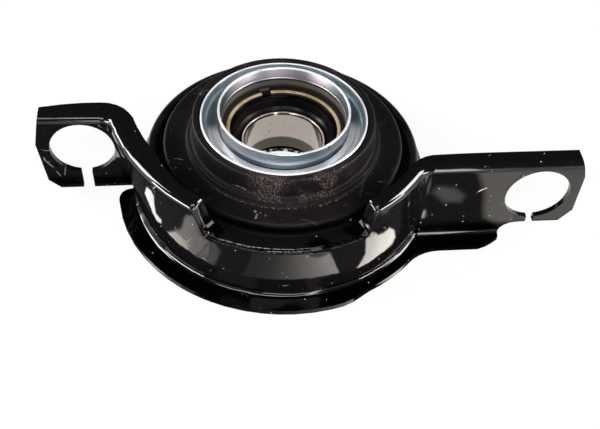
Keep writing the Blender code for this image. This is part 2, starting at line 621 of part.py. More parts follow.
def isolator(material, axis):
    """Moulded rubber: a hub around the sleeve, a disc over the waist, and a foot bonded in the shell."""
    hub_in = SLEEVE_BODY_RADIUS + SEAT_GAP
    under = SHIELD_FLOOR_Z - SHIELD_WALL - SEAT_GAP
    bond = SHELL_NECK_RADIUS - SHELL_WALL - SEAT_GAP
    foot = SHELL_RADIUS - SHELL_WALL - SEAT_GAP
    rim_in = SHIELD_RIM_RADIUS + SEAT_GAP
    rim_z = HUB_TOP_Z - HUB_ROUND
    skirt = HUB_RADIUS + SKIRT_WIDTH
    membrane = SHELL_TOP_Z - SHELL_WALL - MEMBRANE
    edge_z = DISC_TOP_Z - DISC_THICKNESS
    waist_z = edge_z - DISC_THICKNESS * WAIST_SLOPE
    bond_foot = SHELL_NECK_Z - SHELL_WALL / 3 - SEAT_GAP
    fold_z = FOOT_Z + FOLD_DEPTH
    fold_out = foot - FOLD_WIDTH
    hub_out = hub_in + (foot - hub_in) * HUB_FOOT_SHARE
    turned("rubber_isolator", [
        (hub_in, SLEEVE_FOOT_Z, 0), (hub_in, under, 0), (rim_in - SHIELD_CORNER, under, 0),
        (rim_in, under + SHIELD_CORNER, 0), (rim_in, rim_z, 0), (HUB_RADIUS - HUB_WALL / 2, HUB_TOP_Z, HUB_ROUND),
        (HUB_RADIUS, rim_z, HUB_ROUND), (HUB_RADIUS, HUB_STEP_Z + SKIRT_ROUND, SKIRT_ROUND * 0.8),
        (skirt, HUB_STEP_Z, HUB_ROUND), (skirt, DISC_TOP_Z, HUB_ROUND), (DISC_RADIUS, DISC_TOP_Z, SKIRT_ROUND),
        (DISC_RADIUS, edge_z, SKIRT_ROUND), (WAIST_RADIUS, waist_z, WAIST_ROUND),
        (WAIST_RADIUS, membrane, WAIST_ROUND), (bond, membrane, 0), (bond, bond_foot, 0),
        (foot, bond_foot - SHELL_STEP, 0), (foot, FOOT_Z, 0), (fold_out, FOOT_Z, 0),
        (fold_out - FOLD_OUTER_SLOPE, fold_z, FOLD_ROUND), (hub_out + FOLD_INNER_SLOPE, fold_z, FOLD_ROUND),
        (hub_out, SLEEVE_FOOT_Z, FOLD_ROUND / 2)], material, axis, steps=LARGE_STEPS)


def sleeve_and_shields(zinc, yellow, axis):
    bore, body, tube = SLEEVE_BORE, SLEEVE_BODY_RADIUS, SLEEVE_BORE + SLEEVE_WALL
    seat_z = SHIELD_FLOOR_Z - SHIELD_WALL - SEAT_GAP
    groove_top = SNAP_RING_TOP_Z + SEAT_GAP
    groove_foot = SNAP_RING_TOP_Z - SNAP_RING_THICKNESS - SEAT_GAP / 2
    shoulder_top = OUTER_FOOT_Z - SEAT_GAP
    shoulder_bore = bore - SLEEVE_SHOULDER
    groove = bore + SNAP_GROOVE_DEPTH
    shoulder_foot = shoulder_top - SHOULDER_DEPTH
    turned("bearing_sleeve", [
        (bore, SLEEVE_FOOT_Z, 0), (body, SLEEVE_FOOT_Z, 2 * RIM_ROUND), (body, seat_z, 0), (tube, seat_z, 0),
        (tube, SLEEVE_TOP_Z, NOSE_ROUND), (bore, SLEEVE_TOP_Z, RIM_ROUND), (bore, groove_top, 0),
        (groove, groove_top, 0), (groove, groove_foot, 0), (bore, groove_foot, 0), (bore, shoulder_top, 0),
        (shoulder_bore, shoulder_top, 0), (shoulder_bore, shoulder_foot, 0),
        (bore, shoulder_foot - SLEEVE_SHOULDER, 0)], zinc, axis)
    hole = tube + SEAT_GAP
    top, under = SHIELD_FLOOR_Z, SHIELD_FLOOR_Z - SHIELD_WALL
    low_floor = top - SHIELD_WALL / 2
    corner_z = under + SHIELD_CORNER
    rim, wall = SHIELD_RIM_RADIUS, SHIELD_WALL
    turned("front_dust_shield", [
        (hole, under, 0), (rim - SHIELD_CORNER, under, SHIELD_BEND), (rim, corner_z, SHIELD_BEND),
        (rim, SHIELD_RIM_Z, RIM_ROUND), (rim - wall, SHIELD_RIM_Z, RIM_ROUND),
        (rim - wall, corner_z + wall / 2, SHIELD_BEND),
        (rim - SHIELD_CORNER - wall / 2, low_floor, 2 * RIM_ROUND),
        (hole + SHIELD_LAND * 1.2, low_floor, 0), (hole + SHIELD_LAND, top, 0), (hole, top, 0)], zinc, axis)
    low, brim = REAR_SHIELD_Z, body + REAR_SHIELD_BRIM
    collar, collar_z = bore - SEAT_GAP, shoulder_foot - SLEEVE_SHOULDER - REAR_SHIELD_RELIEF
    nozzle = REAR_SHIELD_BORE + wall
    turned("rear_dust_shield", [
        (REAR_SHIELD_BORE, low, NOSE_ROUND), (brim, low, RIM_ROUND), (brim, low + wall, 0),
        (collar, low + wall, 0), (collar, collar_z, 0), (collar - wall, collar_z, 0),
        (collar - wall, low + wall, RIM_ROUND), (nozzle, low + wall, 0), (nozzle, low + 2 * wall, 0),
        (REAR_SHIELD_BORE, low + 2 * wall, NOSE_ROUND)], zinc, axis, steps=HIDDEN_STEPS)
    ring_out = SNAP_RING_RADIUS
    ring_in = ring_out - SNAP_RING_WIDTH
    ring_low = SNAP_RING_TOP_Z - SNAP_RING_THICKNESS
    section = [(ring_in, ring_low, 0), (ring_out, ring_low, 0), (ring_out, SNAP_RING_TOP_Z, 0),
               (ring_in, SNAP_RING_TOP_Z, NOSE_ROUND)]
    turned("snap_ring", section, yellow, axis, gap=SNAP_GAP / ring_in, gap_middle=SNAP_GAP_ANGLE)


for leftover in list(bpy.data.objects):
    bpy.data.objects.remove(leftover, do_unlink=True)
paint("cutter", (0.8, 0.1, 0.1), 0.5, 0)
shaft_axis = bpy.data.objects.new("shaft_axis", None)
bpy.context.collection.objects.link(shaft_axis)
shaft_axis.location = SHAFT
bracket(paint("black_gloss_paint", (0.008, 0.008, 0.009), 0.18, 0), shaft_axis)
shell(paint("black_shell_paint", (0.012, 0.012, 0.012), 0.35, 0), shaft_axis)
isolator(paint("black_rubber", (0.018, 0.018, 0.019), 0.65, 0), shaft_axis)
sleeve_and_shields(paint("zinc_plate", (0.56, 0.63, 0.68), 0.28, 1),
                   paint("yellow_passivated_steel", (0.62, 0.45, 0.20), 0.3, 1), shaft_axis)
ball_bearing(paint("polished_steel", (0.66, 0.64, 0.61), 0.15, 1),
             paint("race_steel", (0.45, 0.44, 0.43), 0.3, 1),
             paint("seal_rubber", (0.015, 0.015, 0.016), 0.5, 0),
             paint("cage_steel", (0.5, 0.42, 0.3), 0.4, 1), shaft_axis)
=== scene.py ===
import math

import bpy
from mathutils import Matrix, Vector


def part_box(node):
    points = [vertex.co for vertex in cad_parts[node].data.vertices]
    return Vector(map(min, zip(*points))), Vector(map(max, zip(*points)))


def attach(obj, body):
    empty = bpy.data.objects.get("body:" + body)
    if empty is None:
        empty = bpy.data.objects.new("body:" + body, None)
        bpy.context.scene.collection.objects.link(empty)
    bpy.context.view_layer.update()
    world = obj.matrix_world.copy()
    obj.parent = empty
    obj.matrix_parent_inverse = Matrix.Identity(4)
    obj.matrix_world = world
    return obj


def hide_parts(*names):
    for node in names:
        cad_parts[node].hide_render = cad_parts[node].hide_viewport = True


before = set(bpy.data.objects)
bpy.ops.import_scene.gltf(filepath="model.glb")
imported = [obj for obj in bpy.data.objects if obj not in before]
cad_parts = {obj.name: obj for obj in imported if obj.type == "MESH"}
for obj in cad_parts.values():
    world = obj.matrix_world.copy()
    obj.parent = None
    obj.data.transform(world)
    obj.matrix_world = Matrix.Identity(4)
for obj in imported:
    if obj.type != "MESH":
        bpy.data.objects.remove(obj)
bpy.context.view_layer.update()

# Bracket: one strip of 2.5 mm steel, pressed to a Z section round the shell, with a slotted eye at each end.
# It is dipped in thick black gloss paint, which has gone wavy on the faces. On some bends and creases
# its gloss is taken out as painted shade.
# The shaft axis runs through the middle of the inner race, and every ring below is turned about it.
SHAFT = sum(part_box("inner_race"), Vector()) / 2
MM = 0.001
BRACKET_BLACK = (0.0035, 0.0033, 0.0033, 1)
DUST_WHITE = (0.50, 0.48, 0.46, 1)
SHEARED_EDGE = 0.30 * MM
ZONE_EDGE = 0.15 * MM
ARM_SCRATCHES = [((72.2, -31.0, 28.9), (76.2, -31.0, 31.7)), ((73.8, -31.0, 38.0), (75.2, -31.0, 38.2))]
# Three bends darkened with painted shade, and how much of the gloss that painted shade takes out
SHADED_BENDS = ((-42.5, -49.0, 32.5), (16.5, -50.5, 32.0), (1.0, -61.0, 31.0))
DULL_SHADE_SHARE = 0.85
DIRT_ROUGHNESS = 0.7


def start_piece():
    bpy.ops.object.select_all(action="DESELECT")


def finish_piece(piece, body, nodes, soft_angle=32):
    """Shades a piece, puts its place in its mesh, and says what it stands for."""
    start_piece()
    piece.select_set(True)
    bpy.context.view_layer.objects.active = piece
    bpy.ops.object.transform_apply(location=True, rotation=True, scale=True)
    bpy.ops.object.shade_smooth_by_angle(angle=math.radians(soft_angle))
    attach(piece, body)
    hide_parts(*nodes)


def apply_modifier(piece, kind, **settings):
    bpy.context.view_layer.objects.active = piece
    modifier = piece.modifiers.new(kind.lower(), kind)
    for name, value in settings.items():
        setattr(modifier, name, value)
    bpy.ops.object.modifier_apply(modifier=modifier.name)


def new_group(name, **inputs):
    """A shader node group that turns some numbers into a mask, and its two end nodes."""
    group = bpy.data.node_groups.new(name, "ShaderNodeTree")
    for socket, value in inputs.items():
        entry = group.interface.new_socket(socket, in_out="INPUT", socket_type="NodeSocketFloat")
        entry.default_value = value
    group.interface.new_socket("Mask", in_out="OUTPUT", socket_type="NodeSocketFloat")
    return group, group.nodes.new("NodeGroupInput"), group.nodes.new("NodeGroupOutput")


def add(tree, kind, links=(), **settings):
    """A node in a tree. Each entry of links is (input, where it comes from or its value)."""
    node = tree.nodes.new("ShaderNode" + kind)
    for name, value in settings.items():
        setattr(node, name, value)
    for socket, source in links:
        if isinstance(source, bpy.types.NodeSocket):
            tree.links.new(source, node.inputs[socket])
        else:
            node.inputs[socket].default_value = source
    return node


def object_place(tree):
    return add(tree, "TexCoord").outputs["Object"]


def noise(tree, place, scale, detail, roughness=0.5):
    return add(tree, "TexNoise", [("Vector", place), ("Scale", scale), ("Detail", detail),
                                  ("Roughness", roughness)]).outputs["Fac"]


def math_node(tree, operation, first, *others):
    """One operation over all its values, from the left. A root or an absolute value takes only the first."""
    for other in others or (0.0,):
        first = add(tree, "Math", [(0, first), (1, other)], operation=operation).outputs[0]
    return first


def times(tree, *values):
    return math_node(tree, "MULTIPLY", *values)


def total(tree, *values):
    return math_node(tree, "ADD", *values)


def highest(tree, *values):
    return math_node(tree, "MAXIMUM", *values)


def rest(tree, mask):
    """What a mask leaves out."""
    return math_node(tree, "SUBTRACT", 1.0, mask)


def vector_node(tree, operation, a, b):
    """Vector arithmetic. SCALE has its factor on an input of its own, and two operations give a number."""
    second = "Scale" if operation == "SCALE" else 1
    given = "Value" if operation in ("DOT_PRODUCT", "DISTANCE") else "Vector"
    return add(tree, "VectorMath", [(0, a), (second, b)], operation=operation).outputs[given]


def ramp(tree, value, low, high):
    """0 below low, 1 above high, a smooth step between."""
    return add(tree, "MapRange", [("Value", value), ("From Min", low), ("From Max", high)],
               interpolation_type="SMOOTHSTEP").outputs[0]


def spread(tree, value, low, high, to_low, to_high):
    """A straight line from to_low at low to to_high at high."""
    return add(tree, "MapRange", [("Value", value), ("From Min", low), ("From Max", high),
                                  ("To Min", to_low), ("To Max", to_high)]).outputs[0]


def mix_color(tree, share, a, b):
    return add(tree, "Mix", [(0, share), (6, a), (7, b)], data_type="RGBA").outputs[2]


def emboss(tree, shader, strength, depth, height):
    """A bump on a shader, its depth in mm."""
    bump = add(tree, "Bump", [("Strength", strength), ("Distance", depth * MM), ("Height", height)])
    tree.links.new(bump.outputs[0], shader.inputs["Normal"])


def group_node(tree, group, **values):
    node = tree.nodes.new("ShaderNodeGroup")
    node.node_tree = group
    for name, value in values.items():
        node.inputs[name].default_value = value
    return node.outputs["Mask"]


def new_material(name, roughness, metallic=0.0, **sockets):
    material = bpy.data.materials.new(name)
    material.use_nodes = True
    shader = material.node_tree.nodes["Principled BSDF"]
    shader.inputs["Roughness"].default_value = roughness
    shader.inputs["Metallic"].default_value = metallic
    for socket, value in sockets.items():
        shader.inputs[socket.replace("_", " ")].default_value = value
    return material, material.node_tree, shader


def dress(piece, material):
    piece.data.materials.clear()
    piece.data.materials.append(material)


# Lint and dust: a few cells of a Voronoi pattern hold a small bright speck
specks, given, result = new_group("lint", Scale=300.0, Share=0.1, Size=0.1)
cells = add(specks, "TexVoronoi", [("Vector", object_place(specks)), ("Scale", given.outputs["Scale"])])
random_cell = add(specks, "SeparateColor", [("Color", cells.outputs["Color"])])
chosen = math_node(specks, "LESS_THAN", random_cell.outputs[0], given.outputs["Share"])
speck_size = times(specks, random_cell.outputs[1], given.outputs["Size"])
inside = math_node(specks, "LESS_THAN", cells.outputs["Distance"], speck_size)
specks.links.new(times(specks, chosen, inside), result.inputs["Mask"])

# Scratches: thin lines along warped cell edges, kept only in patches
scratches, given, result = new_group("scratches", Scale=60.0, Width=0.02, Cover=0.55)
place = object_place(scratches)
warp = add(scratches, "TexNoise", [("Vector", place), ("Scale", 45.0), ("Detail", 2.0)])
bent = vector_node(scratches, "SCALE", warp.outputs["Color"], 0.012)
lines = add(scratches, "TexVoronoi", [("Vector", vector_node(scratches, "ADD", place, bent)),
                                      ("Scale", given.outputs["Scale"])], feature="DISTANCE_TO_EDGE")
thin = math_node(scratches, "LESS_THAN", lines.outputs["Distance"], given.outputs["Width"])
kept = math_node(scratches, "GREATER_THAN", noise(scratches, place, 70.0, 5.0, 0.7), given.outputs["Cover"])
scratches.links.new(times(scratches, thin, kept), result.inputs["Mask"])

# Stroke: one broken scratch from one place on a piece to another
stroke, given, result = new_group("stroke", Width=0.4 * MM, Cover=0.5)
for socket in ("Start", "End"):
    stroke.interface.new_socket(socket, in_out="INPUT", socket_type="NodeSocketVector")
place = object_place(stroke)
shake = add(stroke, "TexNoise", [("Vector", place), ("Scale", 400.0), ("Detail", 3.0)])
shift = vector_node(stroke, "SUBTRACT", shake.outputs["Color"], (0.5, 0.5, 0.5))
place = vector_node(stroke, "ADD", place, vector_node(stroke, "SCALE", shift, 1.6 * MM))
along = vector_node(stroke, "SUBTRACT", given.outputs["End"], given.outputs["Start"])
offset = vector_node(stroke, "SUBTRACT", place, given.outputs["Start"])
travel = vector_node(stroke, "DOT_PRODUCT", offset, along)
square = vector_node(stroke, "DOT_PRODUCT", along, along)
part = add(stroke, "Math", [(0, travel), (1, square)], operation="DIVIDE", use_clamp=True).outputs[0]
gap = vector_node(stroke, "DISTANCE", offset, vector_node(stroke, "SCALE", along, part))
near = math_node(stroke, "LESS_THAN", gap, given.outputs["Width"])
broken = math_node(stroke, "GREATER_THAN", shake.outputs["Fac"], given.outputs["Cover"])
stroke.links.new(times(stroke, near, broken), result.inputs["Mask"])


def stroke_marks(tree, width, cover, lines):
    """All the strokes of a material as one mask. Each line is its two ends, in mm."""
    mask = 0.0
    for start, end in lines:
        line = group_node(tree, stroke, Width=width * MM, Cover=cover, Start=[c * MM for c in start],
                          End=[c * MM for c in end])
        mask = highest(tree, line, mask)
    return mask


# Ring zone: the part of a turned piece between two radii and two heights, with a narrow soft edge
ring_zone, given, result = new_group("ring_zone", Inner=0.0, Outer=1.0, Low=-1.0, High=1.0)
spot = add(ring_zone, "SeparateXYZ", [("Vector", object_place(ring_zone))])
from_axis = [math_node(ring_zone, "SUBTRACT", spot.outputs[k], SHAFT[k]) for k in range(2)]
squares = [times(ring_zone, distance, distance) for distance in from_axis]
radius = math_node(ring_zone, "SQRT", total(ring_zone, *squares))
mask = 1.0
for value, low, high in ((radius, "Inner", "Outer"), (spot.outputs["Z"], "Low", "High")):
    above = math_node(ring_zone, "SUBTRACT", value, given.outputs[low])
    under = math_node(ring_zone, "SUBTRACT", given.outputs[high], value)
    mask = times(ring_zone, ramp(ring_zone, above, -ZONE_EDGE, ZONE_EDGE),
                 ramp(ring_zone, under, -ZONE_EDGE, ZONE_EDGE), mask)
ring_zone.links.new(mask, result.inputs["Mask"])


def zone(tree, inner, outer, low, high):
    """The mask of a ring zone, from radius inner to outer and from height low to high, in mm."""
    return group_node(tree, ring_zone, Inner=inner * MM, Outer=outer * MM, Low=low * MM, High=high * MM)


bracket_paint, tree, shader = new_material("bracket_gloss_paint", 0.12, IOR=1.52)
place = object_place(tree)
spot = add(tree, "SeparateXYZ", [("Vector", place)])
height = spot.outputs["Z"]
lint = group_node(tree, specks, Scale=420.0, Share=0.22, Size=0.12)
marks = group_node(tree, scratches, Scale=75.0, Width=0.012, Cover=0.60)
dirt = highest(tree, lint, stroke_marks(tree, 0.35, 0.48, ARM_SCRATCHES), times(tree, marks, 0.25))
tree.links.new(mix_color(tree, dirt, BRACKET_BLACK, DUST_WHITE), shader.inputs["Base Color"])

# Painted shade: at the foot of the web, on the lip and on three bends the paint is made a metal as black as
# the paint, which mirrors next to nothing, so these places stay dark. A thin line of gloss is left along the
# fold between the web and the lip.
sideways = math_node(tree, "ABSOLUTE", math_node(tree, "SUBTRACT", spot.outputs["X"], SHAFT.x))
gutter = times(tree, ramp(tree, sideways, 36 * MM, 58 * MM), rest(tree, ramp(tree, height, 7 * MM, 11 * MM)))
folded = highest(tree, gutter, ramp(tree, height, 5.5 * MM, 4.2 * MM))
fold_line = times(tree, ramp(tree, height, 2.7 * MM, 2.95 * MM), ramp(tree, height, 4.0 * MM, 3.6 * MM))
dull_shade = times(tree, folded, rest(tree, fold_line))
for bend in SHADED_BENDS:
    away = vector_node(tree, "DISTANCE", place, [c * MM for c in bend])
    dull_shade = highest(tree, dull_shade, ramp(tree, away, 6.5 * MM, 4 * MM))

# Flaked crest: along the top edge of the web, in front, flakes of the same painted shade break up the
# highlight
crest = times(tree, zone(tree, 65.9, 70, 29.2, 33), ramp(tree, spot.outputs["Y"], -48 * MM, -52 * MM))
flaked_shade = ramp(tree, noise(tree, place, 900.0, 3.0), 0.52, 0.47)
dull_shade = highest(tree, dull_shade, times(tree, crest, flaked_shade))
tree.links.new(times(tree, dull_shade, DULL_SHADE_SHARE, rest(tree, dirt)), shader.inputs["Metallic"])

gloss = spread(tree, noise(tree, place, 55.0, 4.0, 0.6), 0.35, 0.75, 0.04, 0.11)
tree.links.new(highest(tree, gloss, times(tree, dirt, DIRT_ROUGHNESS)), shader.inputs["Roughness"])
waves = noise(tree, place, 38.0, 1.0)
peel = noise(tree, place, 700.0, 2.0)
emboss(tree, shader, 0.35, 1.0, total(tree, times(tree, peel, 0.006), times(tree, dirt, 0.05), waves))

# The pressing is the CAD's own, with its flat faces made whole and its sheared edges rounded a little
start_piece()
bracket = bpy.data.objects.new("bracket_pressing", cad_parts["bracket"].data.copy())
bpy.context.scene.collection.objects.link(bracket)
bracket.select_set(True)
bpy.context.view_layer.objects.active = bracket
bpy.ops.object.mode_set(mode="EDIT")
bpy.ops.mesh.select_all(action="SELECT")
bpy.ops.mesh.remove_doubles(threshold=0.002 * MM)
bpy.ops.mesh.dissolve_limited(angle_limit=math.radians(0.4))
bpy.ops.object.mode_set(mode="OBJECT")
apply_modifier(bracket, "BEVEL", width=SHEARED_EDGE, segments=2, limit_method="ANGLE",
               angle_limit=math.radians(50))
apply_modifier(bracket, "TRIANGULATE", keep_custom_normals=True)
finish_piece(bracket, "housing", ["bracket"], soft_angle=30)
apply_modifier(bracket, "WEIGHTED_NORMAL", keep_sharp=True)
dress(bracket, bracket_paint)


# Shell: a drawn steel cup pressed into the bracket, with its top edge rolled in over the rubber.
# It has the same black paint, thinner and duller, with mould rubber smeared over its neck.
SHELL_BLACK = (0.0040, 0.0037, 0.0037, 1)
RING_STEPS = 128


def arc(centre_r, centre_z, radius, start, end, steps=5):
    """Profile points on an arc, in degrees, 0 outwards from the shaft and 90 up."""
    angles = [math.radians(start + (end - start) * k / steps) for k in range(steps + 1)]
    return [(centre_r + radius * math.cos(a), centre_z + radius * math.sin(a)) for a in angles]


def turned(name, profile, edge=0.0, edge_angle=40):
    """A ring drawn as its closed profile in mm, edge by edge, from a circle that is extruded and resized."""
    start_piece()
    r, z = profile[0]
    bpy.ops.mesh.primitive_circle_add(vertices=RING_STEPS, radius=r * MM,
                                      location=(SHAFT.x, SHAFT.y, z * MM))
    piece = bpy.context.object
    piece.name = piece.data.name = name
    bpy.ops.object.mode_set(mode="EDIT")
    bpy.ops.mesh.select_all(action="SELECT")
    for next_r, next_z in profile[1:] + profile[:1]:
        bpy.ops.mesh.extrude_edges_move(TRANSFORM_OT_translate={"value": (0, 0, (next_z - z) * MM)})
        bpy.ops.transform.resize(value=(next_r / r, next_r / r, 1),
                                 center_override=(SHAFT.x, SHAFT.y, next_z * MM))
        r, z = next_r, next_z
    bpy.ops.mesh.select_all(action="SELECT")
    bpy.ops.mesh.remove_doubles(threshold=0.003 * MM)
    bpy.ops.mesh.normals_make_consistent(inside=False)
    bpy.ops.object.mode_set(mode="OBJECT")
    if edge:
        apply_modifier(piece, "BEVEL", width=edge * MM, segments=2, limit_method="ANGLE",
                       angle_limit=math.radians(edge_angle))
    return piece


shell_paint, tree, shader = new_material("shell_paint", 0.32, IOR=1.5)
lint = group_node(tree, specks, Scale=330.0, Share=0.06, Size=0.14)
tree.links.new(mix_color(tree, lint, SHELL_BLACK, DUST_WHITE), shader.inputs["Base Color"])
cloud = noise(tree, object_place(tree), 90.0, 5.0)
tree.links.new(spread(tree, cloud, 0.3, 0.7, 0.2, 0.5), shader.inputs["Roughness"])
emboss(tree, shader, 0.3, 0.4, cloud)
neck = arc(63.2, 15.0, 1.6, 0, 45, 3) + arc(63.6, 18.6, 1.9, 225, 180, 3) + [(61.7, 23.0)]
rolled_edge = arc(60.0, 23.4, 1.7, 0, 90, 6) + [(58.3, 25.1)] + arc(58.3, 24.2, 0.9, 90, 270, 6)[1:]
shell = turned("shell", [(63.0, 0), (64.8, 0), (64.8, 14.2)] + neck + rolled_edge
               + [(59.9, 23.3), (59.9, 17.9), (63.0, 14.8)], edge=0.25, edge_angle=60)
finish_piece(shell, "housing", ["outer_ring"])
dress(shell, shell_paint)


# Rubber isolator: a moulded disc with a tall hub round the sleeve and a narrow waist above the shell.
# Its skin is dull charcoal, with mould marks, nicks, and pale scuffs on the front of the hub, which are laid
# on more strongly there as a painted sheen. A dotted painted highlight runs along the front of the step at
# the hub's foot.
RUBBER = (0.0040, 0.0038, 0.0038, 1)
# Pale scuff colour, also used for a painted sheen and a painted highlight
RUBBER_SCUFF_AND_SHEEN = (0.20, 0.155, 0.15, 1)
NICKS = [((-59, -5.9, 31.2), (-52, -8.5, 31.2)), ((-57, -12.5, 31.2), (-50.5, -13.5, 31.2)),
         ((-20.7, -35.4, 31.3), (-24.1, -43.6, 31.2)), ((-24.0, -39.5, 31.2), (-19.8, -42.0, 31.2)),
         ((18.4, -28.2, 31.9), (26.6, -32.9, 31.2)), ((29.5, -25.0, 31.2), (32.8, -25.0, 31.2)),
         ((3.4, -37.7, 31.2), (10.8, -35.0, 31.2)), ((-34.0, -27.0, 35.5), (-27.6, -30.5, 35.3))]
rubber_skin, tree, shader = new_material("isolator_rubber", 0.5, IOR=1.48, Specular_IOR_Level=0.16)
place = object_place(tree)
spot = add(tree, "SeparateXYZ", [("Vector", place)])
lint = group_node(tree, specks, Scale=240.0, Share=0.09, Size=0.17)
marks = group_node(tree, scratches, Scale=58.0, Width=0.02, Cover=0.56)
nicks = stroke_marks(tree, 0.40, 0.49, NICKS)
grain = noise(tree, place, 1500.0, 4.0, 0.75)
blotch = noise(tree, place, 60.0, 6.0, 0.72)
# Painted sheen and highlight: the scuff colour is laid on more strongly toward the front of the hub, and as
# a dotted line on the front of the step
toward_front = ramp(tree, spot.outputs["Y"], -14 * MM, -36 * MM)
on_hub = ramp(tree, spot.outputs["Z"], 32 * MM, 35 * MM)
wear_and_front_sheen = total(tree, 0.08, times(tree, toward_front, on_hub, 0.8))
from_middle = math_node(tree, "ABSOLUTE", total(tree, spot.outputs["X"], 3 * MM))
scuff_and_sheen = times(tree, ramp(tree, blotch, 0.40, 0.54), ramp(tree, grain, 0.51, 0.59), wear_and_front_sheen,
              ramp(tree, from_middle, 30 * MM, 12 * MM))
dotted_highlight = times(tree, zone(tree, 44.0, 44.9, 31, 32.6), toward_front, ramp(tree, grain, 0.54, 0.60))
wear_and_highlights = highest(tree, scuff_and_sheen, dotted_highlight, times(tree, nicks, 0.8), times(tree, marks, 0.15))
skin = mix_color(tree, lint, mix_color(tree, wear_and_highlights, RUBBER, RUBBER_SCUFF_AND_SHEEN), DUST_WHITE)
tree.links.new(skin, shader.inputs["Base Color"])
tree.links.new(spread(tree, blotch, 0.3, 0.7, 0.46, 0.66), shader.inputs["Roughness"])
emboss(tree, shader, 0.5, 0.25, total(tree, times(tree, marks, -0.8), blotch, times(tree, grain, 0.5)))
hub = [(30.8, 5.0), (30.8, 37.0), (33.7, 37.0), (37.3, 40.6), (37.3, 43.2)]
hub += arc(38.6, 43.2, 0.7, 180, 90, 3) + arc(39.5, 43.0, 0.9, 90, 0, 4) + [(40.5, 40.0), (40.7, 36.5)]
hub_foot = arc(42.2, 35.1, 1.5, 180, 262, 4) + arc(42.4, 32.6, 0.9, 80, 10, 4)
hub_foot += arc(44.2, 32.1, 0.9, 190, 265, 3)
disc = [(48.0, 31.15), (52.2, 31.15)] + arc(52.2, 29.7, 1.45, 88, -20, 6) + [(53.2, 27.2), (52.2, 25.6)]
waist = arc(52.4, 23.4, 2.0, 130, 190, 4) + arc(52.4, 22.9, 2.0, 200, 262, 3) + [(56.0, 21.1), (59.5, 21.1)]
underside = [(59.5, 17.6), (62.7, 14.4), (62.7, 3.0), (58.2, 3.0), (55.4, 11.4), (54.2, 12.0), (47.6, 12.0),
             (46.4, 11.4), (43.0, 5.6), (41.6, 5.0)]
isolator = turned("isolator", hub + hub_foot + disc + waist + underside)
finish_piece(isolator, "housing", ["rubber_isolator"], soft_angle=40)
dress(isolator, rubber_skin)


# Sleeve: a zinc-plated steel tube, machined inside to a seat for the bearing and a groove for its snap ring.
# Its thin top stands clear of the shield; its foot holds the rear shield.
ZINC = (0.44, 0.535, 0.56, 1)
ZINC_PALE = (0.64, 0.68, 0.72, 1)
# Colours of painted shade inside the tube, and pale lilac for painted highlight and sheen
DARK_STEEL_SHADE = (0.014, 0.013, 0.012, 1)
BAND_GREY = (0.075, 0.076, 0.064, 1)
LILAC_LIGHT = (0.80, 0.80, 0.83, 1)
MOUTH_GREY = (0.25, 0.235, 0.255, 1)
SHADED_ZINC = (0.10, 0.15, 0.17, 1)


def along_axis(tree, place, axis):
    return add(tree, "SeparateXYZ", [("Vector", place)]).outputs[axis]


def from_shaft(tree, place):
    """A place measured from the shaft's axis."""
    return add(tree, "Mapping", [("Vector", place), ("Location", (-SHAFT.x, -SHAFT.y, 0))]).outputs[0]


def zinc_plating(name):
    """Zinc plate on turned or pressed steel: faint turning rings, and a pale bloom in soft clouds."""
    material, tree, shader = new_material(name, 0.26, 1.0)
    place = object_place(tree)
    centred = from_shaft(tree, place)
    turn_marks = add(tree, "TexWave", [("Vector", centred), ("Scale", 420.0), ("Distortion", 1.2),
                                       ("Detail", 3.0)], wave_type="RINGS", rings_direction="Z")
    bloom = noise(tree, place, 60.0, 3.0)
    plate = mix_color(tree, ramp(tree, bloom, 0.38, 0.7), ZINC, ZINC_PALE)
    gloss = spread(tree, bloom, 0.3, 0.7, 0.22, 0.32)
    emboss(tree, shader, 0.08, 0.04, turn_marks.outputs["Fac"])
    return material, tree, shader, centred, plate, gloss


# Its zones: the inside painted dark as shade with a lighter band, a grey mouth above it painted darker in
# front as shade, a painted highlight in pale lilac on the cut edge, a painted lilac sheen on the collar
# outside and, in front, a foot painted in the shade of the shield
sleeve_plate, tree, shader, centred, plate, gloss = zinc_plating("sleeve_plate")
spot_y = along_axis(tree, centred, "Y")
# Painted shade and light: dark inside with a lighter band, a darker mouth and foot in front, and a pale
# lilac edge and collar
inside_shade = zone(tree, 20, 28.35, 0, 42.1)
lighter_band = zone(tree, 20, 28.35, 38.5, 40.9)
mouth = zone(tree, 27, 28.7, 42.3, 46.8)
crown_highlight = zone(tree, 28.0, 29.6, 47.1, 48)
collar = zone(tree, 28.5, 29.6, 41.2, 43.2)
tube_foot_shade = times(tree, zone(tree, 28.5, 29.5, 30, 41.0), ramp(tree, spot_y, -10 * MM, -20 * MM))
plate = mix_color(tree, times(tree, collar, 0.35), plate, LILAC_LIGHT)
plate = mix_color(tree, tube_foot_shade, plate, SHADED_ZINC)
mouth_shading = mix_color(tree, ramp(tree, spot_y, 4 * MM, 22 * MM), SHADED_ZINC, MOUTH_GREY)
plate = mix_color(tree, mouth, plate, mouth_shading)
plate = mix_color(tree, inside_shade, plate, mix_color(tree, lighter_band, DARK_STEEL_SHADE, BAND_GREY))
plate = mix_color(tree, times(tree, crown_highlight, 0.8), plate, LILAC_LIGHT)
tree.links.new(plate, shader.inputs["Base Color"])
rough = total(tree, times(tree, inside_shade, 0.22), times(tree, mouth, 0.10), gloss)
tree.links.new(rough, shader.inputs["Roughness"])
tree.links.new(rest(tree, total(tree, inside_shade, times(tree, crown_highlight, 0.7))), shader.inputs["Metallic"])
tube_outside = [(27.5, 5.0), (30.5, 5.0), (30.5, 36.95), (28.8, 36.95), (28.8, 40.5), (29.25, 47.0)]
tube_mouth = [(29.05, 47.3), (28.4, 47.3), (28.1, 46.9), (27.65, 42.4), (27.45, 42.1), (27.5, 36.95)]
groove = [(28.3, 36.9), (28.3, 34.95)]
seat = [(27.5, 34.9), (27.5, 15.0), (24.5, 15.0), (24.5, 12.8), (27.5, 9.8)]
sleeve = turned("sleeve", tube_outside + tube_mouth + groove + seat)
finish_piece(sleeve, "housing", ["bearing_sleeve"])
dress(sleeve, sleeve_plate)
